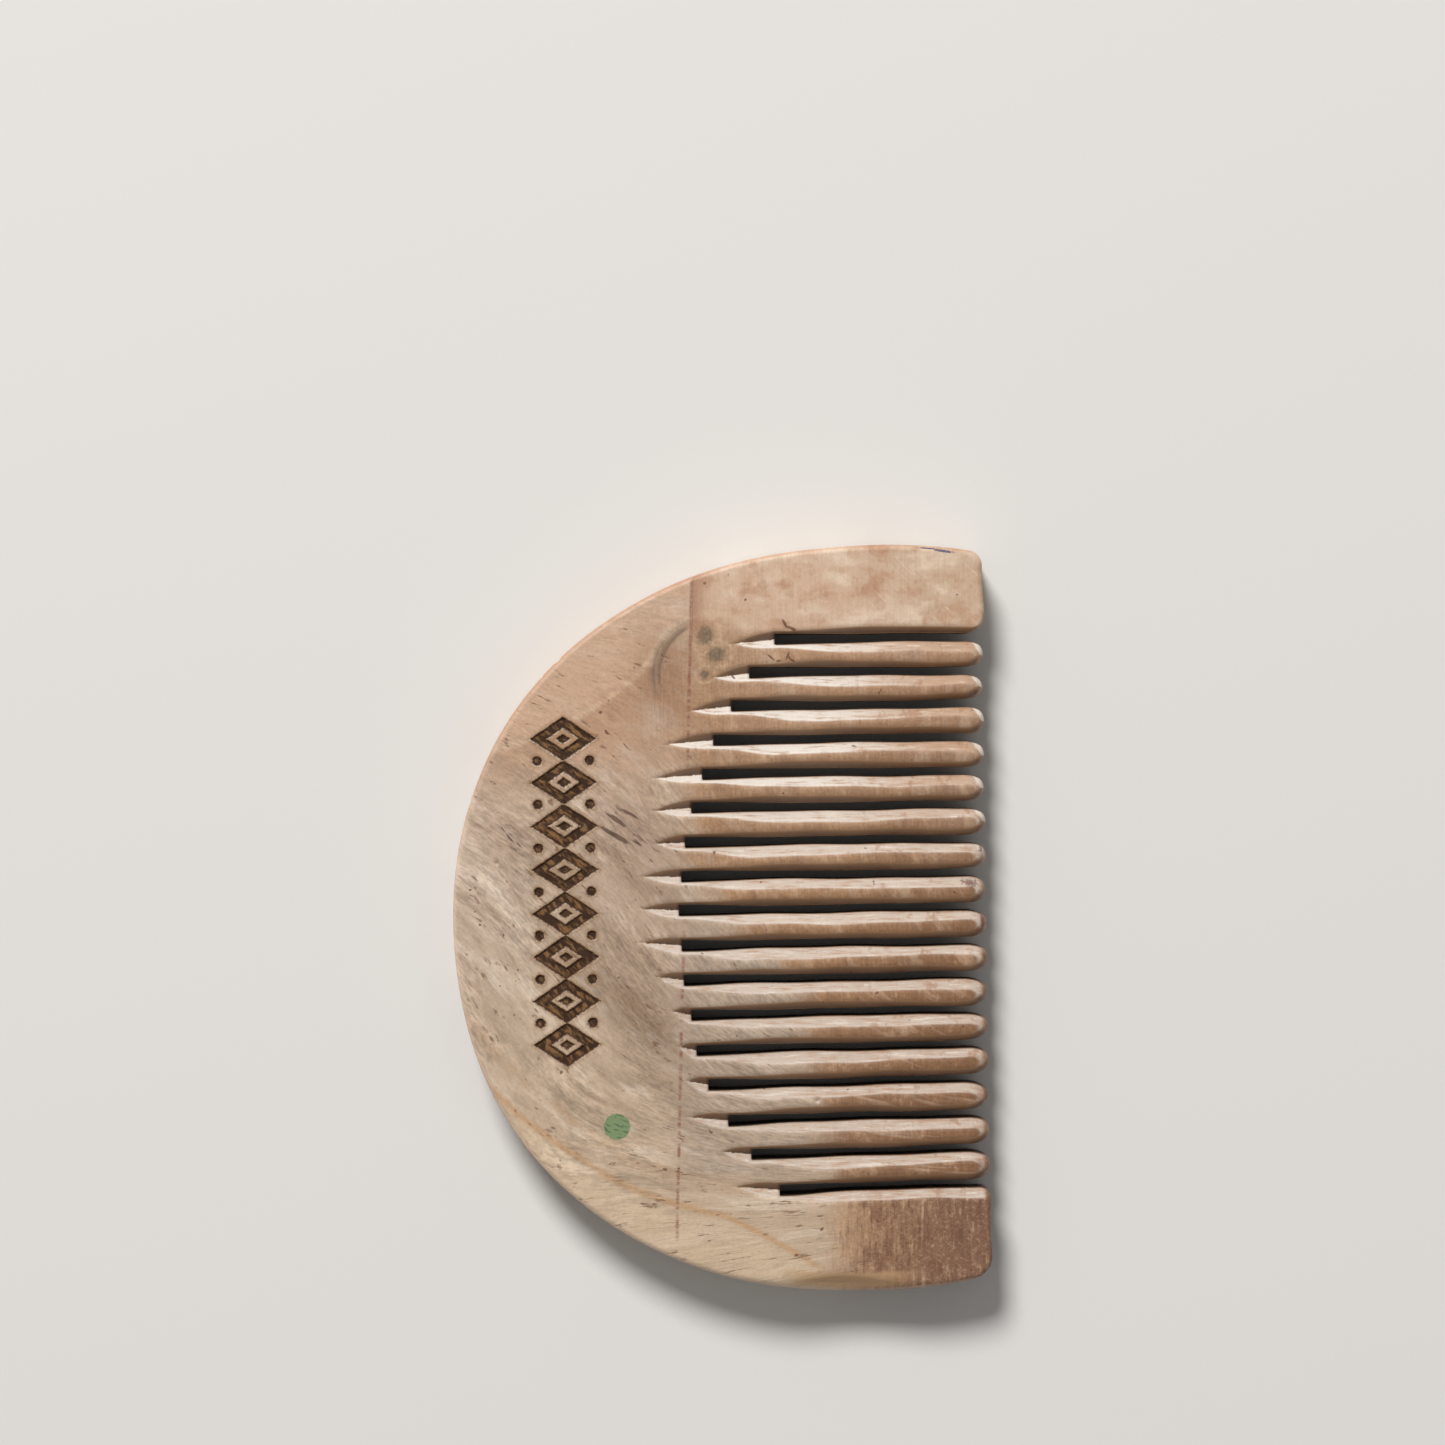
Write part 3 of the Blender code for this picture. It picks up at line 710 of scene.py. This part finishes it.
    brown = g.mix(brown, srgb(186, 150, 122), g.ramp(saw, 0.44, 0.34, 0.0, 0.5) * plank)
    brown = g.mix(brown, srgb(122, 80, 56), g.ramp(blotch, 0.5, 0.62, 0.0, 0.45) * plank * onset)
    for lean, seed in ((0.55, 6.0), (-0.7, 13.0)):
        crossed = g.noise(g.vec((x * lean + y) * 2.2, (x - y * lean) * 0.7, seed), 1.0, 3.0, 0.7)
        brown = g.mix(brown, srgb(206, 172, 142), g.ramp(crossed, 0.54, 0.68, 0.0, 0.3) * plank * onset)
        brown = g.mix(brown, srgb(108, 70, 52), g.ramp(crossed, 0.44, 0.32, 0.0, 0.4) * plank * onset)
    colour = g.mix(colour, brown, sanded * g.ramp(y, 40.0, -10.0, 0.66, 0.94))
    roots = g.ramp(x, -9.0, -3.0) * (1.0 - sanded) * g.ramp(y, 2.0, -4.0) * g.ramp(y, -37.0, -33.0)
    colour = g.mix(colour, srgb(162, 142, 125), roots * 0.6)
    # the upper guard stays pale, with reddish rubbed spots
    guard = g.ramp(y, 37.0, 40.0) * g.ramp(x, -5.0, -1.0)
    soft = g.noise(g.vec(x * 0.16, y * 0.26, 2.0), 1.0, 3.0, 0.6)
    skin = g.mix(srgb(206, 175, 150), srgb(198, 170, 144), g.ramp(x, 14.0, 30.0))
    skin = g.mix(skin, srgb(224, 202, 178), g.ramp(soft, 0.50, 0.68, 0.0, 0.8))
    skin = g.mix(skin, srgb(186, 146, 118), g.ramp(soft, 0.48, 0.34, 0.0, 0.8))
    skin = g.mix(skin, srgb(172, 126, 96), g.ramp(blotch - soft * 0.5, 0.26, 0.50, 0.0, 0.55))
    swipe = g.noise(g.vec((x + y) * 1.6, (x - y) * 0.12, 9.0), 1.0, 2.0, 0.6)
    skin = g.mix(skin, srgb(228, 208, 184), g.ramp(swipe, 0.60, 0.72, 0.0, 0.45) * g.ramp(x, 18.0, 26.0, 0.25, 1.0))
    colour = g.mix(colour, skin, guard * 0.92)

    # three small knots with pale rings, and grey grain bending round them
    ragged = (grit - 0.5) * 0.35 + (blotch - 0.5) * 0.9
    knots = halo = None
    for cx, cy, rx, ry, turn in ((-1.55, 38.1, 1.15, 1.4, -8.0), (-0.25, 35.5, 1.4, 1.05, 12.0), (-1.8, 32.85, 0.8, 0.65, 0.0)):
        c, s_ = math.cos(math.radians(turn)), math.sin(math.radians(turn))
        u = ((x - cx) * c + (y - cy) * s_) / rx
        v = ((y - cy) * c - (x - cx) * s_) / ry
        d = g.hypot(u, v) + ragged
        core, pale = g.ramp(d, 1.2, 0.5), g.ramp(g.abs(d - 1.7), 0.45, 0.05)
        knots = core if knots is None else g.max(knots, core)
        halo = pale if halo is None else g.max(halo, pale)
    colour = g.mix(colour, srgb(146, 110, 82), g.blob(x, y, -7.0, 31.5, 4.2, 7.0) * g.ramp(scratch, 0.4, 0.6, 0.55, 0.85))
    arc = round_knots + wander * 0.9
    sweep = g.ramp(g.abs(arc + 0.7), 1.5, 0.2) * g.ramp(x, -3.4, -4.6) * g.ramp(y, 29.0, 33.5)
    lines = g.noise(g.vec(arc * 1.6, s * 0.05, 2.0), 1.0, 2.0, 0.6)
    colour = g.mix(colour, srgb(112, 94, 80), sweep * g.ramp(lines, 0.40, 0.56, 0.2, 0.85))
    brownish = g.blob(x, y, -0.4, 35.2, 5.5, 5.0)
    colour = g.mix(colour, srgb(158, 122, 92), brownish * 0.6)
    colour = g.mix(colour, srgb(220, 192, 162), pale_line * g.ramp(fibre, 0.3, 0.6, 0.28, 0.48) * g.ramp(blotch, 0.4, 0.6, 0.45, 1.0))
    colour = g.mix(colour, srgb(206, 174, 142), halo * g.ramp(fibre, 0.35, 0.6, 0.1, 0.42))
    colour = g.mix(colour, srgb(112, 96, 74), knots * g.ramp(grit, 0.3, 0.7, 0.95, 0.72))

    # scribed line, reddish, with a worn trace of red beside it
    line_x = x - LINE_X - y * LINE_LEAN + (blotch - 0.5) * 0.25
    drawn = g.noise(g.vec(0.0, y, 5.0), 0.6, 2.0, 0.7)
    drawn = g.max(g.ramp(drawn, 0.40, 0.56), g.ramp(y, 34.0, 38.0, 0.0, 0.8)) * g.ramp(y, 46.0, 45.0)
    drawn = drawn * g.ramp(y, -43.2, -42.0) * g.max(g.ramp(y, 19.0, 23.0), g.ramp(y, 4.0, -8.0))
    face = g.ramp(nz, 0.3, 0.7)
    drawn = drawn * g.ramp(grit, 0.36, 0.55, 0.45, 1.0) * face
    colour = g.mix(colour, srgb(128, 66, 48), g.ramp(g.abs(line_x), 0.36, 0.06) * drawn * 0.75)
    blush = g.ramp(line_x, 0.0, 0.3) * g.ramp(line_x, 3.0, 0.2) * g.ramp(y, 36.0, 40.0) * face
    colour = g.mix(colour, srgb(150, 98, 70), blush * 0.55)

    # filed bevels and sawn walls, with painted shade on the bevels facing -y and on the slot walls, and a painted
    # highlight on the upper noses
    file_marks = g.noise(g.vec(x * 0.28, y * 2.4, z * 2.4), 1.0, 3.0, 0.7)
    bevel_colour_and_shade = g.mix(srgb(225, 218, 209), srgb(188, 158, 134), g.ramp(x, 12.0, 30.0))
    bevel_colour_and_shade = g.mix(bevel_colour_and_shade, srgb(203, 188, 175), g.ramp(y, 22.0, 8.0, 0.0, 0.9))
    bevel_colour_and_shade = g.mix(bevel_colour_and_shade, srgb(192, 175, 161), g.ramp(y, 0.0, -16.0, 0.0, 0.8))
    bevel_colour_and_shade = g.mix(bevel_colour_and_shade, srgb(178, 140, 113), g.ramp(file_marks, 0.51, 0.66, 0.0, 0.75))
    bevel_colour_and_shade = g.mix(bevel_colour_and_shade, srgb(234, 223, 211), g.ramp(file_marks, 0.44, 0.34, 0.0, 0.55))
    bevel_colour_and_shade = g.mix(bevel_colour_and_shade, srgb(160, 118, 90), g.ramp(blotch, 0.54, 0.66, 0.0, 0.6) * g.ramp(x, 12.0, 26.0))
    # painted shade: the bevels facing -y are darkened, more so deeper down the groove
    depth = 9.0 - g.max(x - TAPER_X, 0.0) * 0.0174 - z
    shade = g.mix(srgb(144, 104, 68), srgb(92, 62, 40), g.ramp(depth, 0.15, 0.95))
    bevel_colour_and_shade = g.mix(bevel_colour_and_shade, shade, g.ramp(ny, 0.1, -0.4, 0.0, 0.92))
    colour = g.mix(colour, bevel_colour_and_shade, bevel * 0.9)
    # painted highlight: a near-white crescent where the upper noses face out towards +x and +y
    outward = nx * 0.8 + ny * 0.6
    painted_nose_highlight = g.ramp(outward, 0.66, 0.82) * g.ramp(nz, 0.74, 0.6) * g.ramp(nz, 0.1, 0.25) * g.ramp(x, 33.6, 34.4)
    colour = g.mix(colour, srgb(240, 230, 218), painted_nose_highlight * g.ramp(y, 4.0, 14.0) * g.ramp(y, 38.0, 36.0) * 0.8)
    ends = g.max(g.max(g.blob(x, y, 33.3, 4.5, 1.7, 0.8, -14.0), g.blob(x, y, 35.1, -0.8, 0.6, 1.4)), g.blob(x, y, 34.9, 8.9, 0.5, 0.7))
    colour = g.mix(colour, srgb(92, 48, 38), g.ramp(ends + (grit - 0.5) * 1.6 + (blotch - 0.5) * 1.2, 0.45, 0.95) * g.ramp(ends, 0.1, 0.4) * 0.7)
    # painted shade inside the slots: the walls are darkened, darkest where they face +y
    colour = g.mix(colour, g.mix(srgb(96, 68, 46), srgb(60, 43, 31), g.ramp(ny, 0.2, 0.5)), wall * inside * 0.9)

    # tone of the grain: fibres on the back, scratches where it was sanded
    calm = g.max(g.max(sanded * 0.75, guard), bevel)
    plain = (1.0 - bevel * 0.85) * (1.0 - guard * 0.6)
    lively = g.ramp(g.noise(g.vec(x, y, 21.0), 0.13, 1.0), 0.38, 0.62, 0.45, 1.25)
    lively = g.max(lively * g.ramp(y, -32.0, -38.0, 1.0, 0.6) * g.ramp(y, 17.0, 25.0, 1.0, 0.5), roots * 1.15)
    grain = (g.ramp(streak, 0.36, 0.64, -0.10, 0.07) + g.ramp(fibre, 0.36, 0.64, -0.12, 0.10)) * lively
    grain = grain + g.ramp(grit, 0.34, 0.66, 0.95, 1.05)
    rubbed = (g.ramp(scratch, 0.34, 0.66, -0.11, 0.09) + g.ramp(grit, 0.34, 0.66, -0.12, 0.10)) * plain + 1.0
    colour = g.scale(colour, grain * (1.0 - calm) + rubbed * calm)

    # pores: short dark dashes along the fibres
    pores = g.noise(g.vec(t * 1.5 + 40.0, s * 0.42, z * 0.4), 1.0, 2.0, 0.55)
    dashes = g.ramp(pores + g.ramp(y, -26.0, -36.0, 0.0, 0.03), 0.62, 0.72) * g.ramp(blotch, 0.42, 0.58, 0.1, 1.0)
    dashes = dashes * (1.0 - calm * 0.85) * g.ramp(g.abs(nz), 0.5, 0.9)
    colour = g.mix(colour, srgb(112, 78, 56), dashes * 0.72)
    pits = g.ramp(g.noise(g.vec(x, y, z), 0.85, 1.0, 0.5), 0.765, 0.80) * inside
    nicks = None
    for cx, cy, reach, width, turn in (
        (9.0, 39.5, 0.8, 0.22, -62.0),
        (9.8, 38.9, 0.8, 0.24, -24.0),
        (7.1, 35.0, 0.75, 0.16, -42.0),
        (8.1, 34.55, 0.45, 0.14, 12.0),
        (9.3, 35.15, 0.6, 0.17, 64.0),
        (9.9, 34.6, 0.55, 0.17, -30.0),
    ):
        one = g.blob(x, y, cx, cy, reach, width, turn)
        nicks = one if nicks is None else g.max(nicks, one)
    pits = g.max(pits, g.ramp(nicks + (grit - 0.5) * 0.8, 0.35, 0.65))
    colour = g.mix(colour, srgb(100, 58, 42), pits * 0.8)

    # painted highlight: a paler, pinkish band at the very edge of the rim, palest where the rim faces away from +y
    rim = g.ramp(inward, 0.55, 0.05) * g.ramp(g.abs(nz), 0.25, 0.5)
    rim_highlight_tone = g.mix(srgb(184, 132, 106), srgb(232, 200, 180), g.ramp(ny, 0.45, 0.05))
    colour = g.mix(colour, rim_highlight_tone, rim * 0.5)
    rubbed_edge = g.ramp(inward + (grit - 0.5) * 0.5, 2.9, 2.3) * g.ramp(inward, 0.2, 0.7)
    rubbed_edge = rubbed_edge * g.ramp(x, 7.0, 10.5) * g.ramp(x, 27.0, 20.0) * g.ramp(y, -44.0, -46.0)
    colour = g.mix(colour, srgb(190, 154, 116), rubbed_edge * 0.75)

    # burned ornament: dark at its edges, grain showing through the char
    burn = ornament_nodes(g, x, y) + (grit - 0.5) * 0.55
    top = g.ramp(nz, 0.2, 0.5)
    scorch = g.ramp(burn, 0.9, 0.0) * top
    colour = g.mix(colour, srgb(140, 102, 62), scorch * scorch * 0.6)
    char = g.noise(g.vec(t * 1.3, s * 0.45, 0.0), 1.0, 2.0, 0.7)
    burned = g.mix(srgb(56, 33, 16), srgb(126, 92, 58), g.ramp(char, 0.44, 0.64) * g.ramp(burn, -0.08, -0.4))
    marked = g.ramp(burn, 0.12, -0.1) * top
    colour = g.mix(colour, burned, marked)

    # one printed green dot
    dot = g.hypot(x - DOT_X, y - DOT_Y) + (grit - 0.5) * 0.35
    ink = g.mix(srgb(114, 140, 98), srgb(74, 98, 66), g.ramp(fibre, 0.5, 0.62))
    colour = g.mix(colour, ink, g.ramp(dot, DOT_R + 0.08, DOT_R - 0.08, 0.0, 0.92) * top)

    # a trace of purple ink on the far upper rim
    trace = g.max(g.blob(x, y, 30.4, 48.95, 1.5, 0.2, -9.0), g.blob(x, y, 28.2, 49.35, 1.7, 0.13, -5.0) * 0.8)
    colour = g.mix(colour, srgb(52, 44, 92), g.ramp(trace + (grit - 0.5) * 1.1, 0.25, 0.6) * g.ramp(trace, 0.05, 0.2) * g.ramp(nz, 0.0, 0.3) * 0.85)

    g.put(shader.inputs["Base Color"], colour)
    rough = g.ramp(blotch, 0.36, 0.66, 0.48, 0.62) - bevel * 0.08 + marked * 0.35
    g.put(shader.inputs["Roughness"], g.clamp(rough))
    shader.inputs["Specular IOR Level"].default_value = 0.4

    height = fibre * (1.0 - calm) * 0.6 + scratch * calm * 0.5 + file_marks * bevel * 0.5
    height = height - dashes * 0.8 + char * marked * 0.8
    bump = g.node("ShaderNodeBump")
    bump.inputs["Strength"].default_value = 0.7
    bump.inputs["Distance"].default_value = 0.00009
    g.put(bump.inputs["Height"], height)
    tree.links.new(bump.outputs["Normal"], shader.inputs["Normal"])
    return material


# ---------------------------------------------------------------- make the comb
raw_verts, raw_quads = surface()
board = lightened(raw_verts, raw_quads)
verts, faces = divided(board)
g_, f_ = gradient(verts)
on_cut = np.zeros(len(verts), bool)
for n in range(SLOTS + 1):
    on_cut |= np.abs(verts[:, 0] - root_x(n)) < 2e-3
step = -f_[:, None] * g_ / np.maximum((g_ * g_).sum(1), 0.05)[:, None]
step[on_cut, 0] = 0.0
verts = verts + np.clip(step, -0.08, 0.08)

middle = verts[faces].mean(1)
owner = np.full(len(faces), -1)
for n in range(SLOTS + 1):
    mine = (middle[:, 0] > root_x(n)) & between(n, middle[:, 0], middle[:, 1])
    owner[mine] = n
material = wood("comb_wood")
roles = [("wood_back", -1, "comb_back", "back_wood"), ("wood_guard_upper", 0, "end_guard_upper", "guard_wood")]
roles += [(f"wood_tooth_{n:02d}", n, f"tooth_{n:02d}", "tooth_wood") for n in range(1, SLOTS)]
roles += [("wood_guard_lower", SLOTS, "end_guard_lower", "guard_wood")]
for name, n, node, slot in roles:
    piece(name, verts, faces[owner == n], "root", node, material)
bpy.data.meshes.remove(board)

# ---------------------------------------------------------------- floor, light and camera
floor_mesh = bpy.data.meshes.new("floor")
floor_mesh.from_pydata([(-3, -3, 0), (3, -3, 0), (3, 3, 0), (-3, 3, 0)], [], [(0, 1, 2, 3)])
floor = bpy.data.objects.new("floor", floor_mesh)
floor.location = (0, 0, -0.00003)
paint = bpy.data.materials.new("floor_paint")
paint.use_nodes = True
paint.node_tree.nodes["Principled BSDF"].inputs["Base Color"].default_value = (0.72, 0.71, 0.69, 1)
paint.node_tree.nodes["Principled BSDF"].inputs["Roughness"].default_value = 0.85
floor_mesh.materials.append(paint)
bpy.context.scene.collection.objects.link(floor)

world = bpy.data.worlds.new("studio")
bpy.context.scene.world = world
world.use_nodes = True
world.node_tree.nodes["Background"].inputs["Color"].default_value = (1.0, 0.985, 0.96, 1)
world.node_tree.nodes["Background"].inputs["Strength"].default_value = 0.24


def softbox(name, towards, distance, size, power, colour):
    lamp = bpy.data.lights.new(name, "AREA")
    lamp.shape, lamp.size, lamp.energy, lamp.color = "DISK", size, power, colour
    made = bpy.data.objects.new(name, lamp)
    aim = Vector(towards).normalized()
    made.location = aim * distance
    made.rotation_mode = "QUATERNION"
    made.rotation_quaternion = aim.to_track_quat("Z", "Y")
    bpy.context.scene.collection.objects.link(made)
    return made


softbox("key", (-0.32, 0.86, 0.90), 2.6, 0.85, 72.0, (1.0, 0.985, 0.965))
softbox("fill", (0.7, -0.4, 1.2), 2.4, 1.6, 2.6, (0.95, 0.97, 1.0))

LENS, SENSOR = 120.0, 36.0
WIDTH_SEEN = 0.19334  # at the height of the comb's top face
camera_data = bpy.data.cameras.new("camera")
camera_data.lens, camera_data.sensor_width = LENS, SENSOR
camera_data.clip_start, camera_data.clip_end = 0.05, 10.0
camera = bpy.data.objects.new("camera", camera_data)
camera.location = (0.00047, 0.02639, 0.009 + WIDTH_SEEN * LENS / SENSOR)
camera.rotation_euler = (0.0, 0.0, math.radians(-0.8))
bpy.context.scene.collection.objects.link(camera)
bpy.context.scene.camera = camera
bpy.context.scene.view_settings.view_transform = "Standard"

bpy.context.view_layer.update()
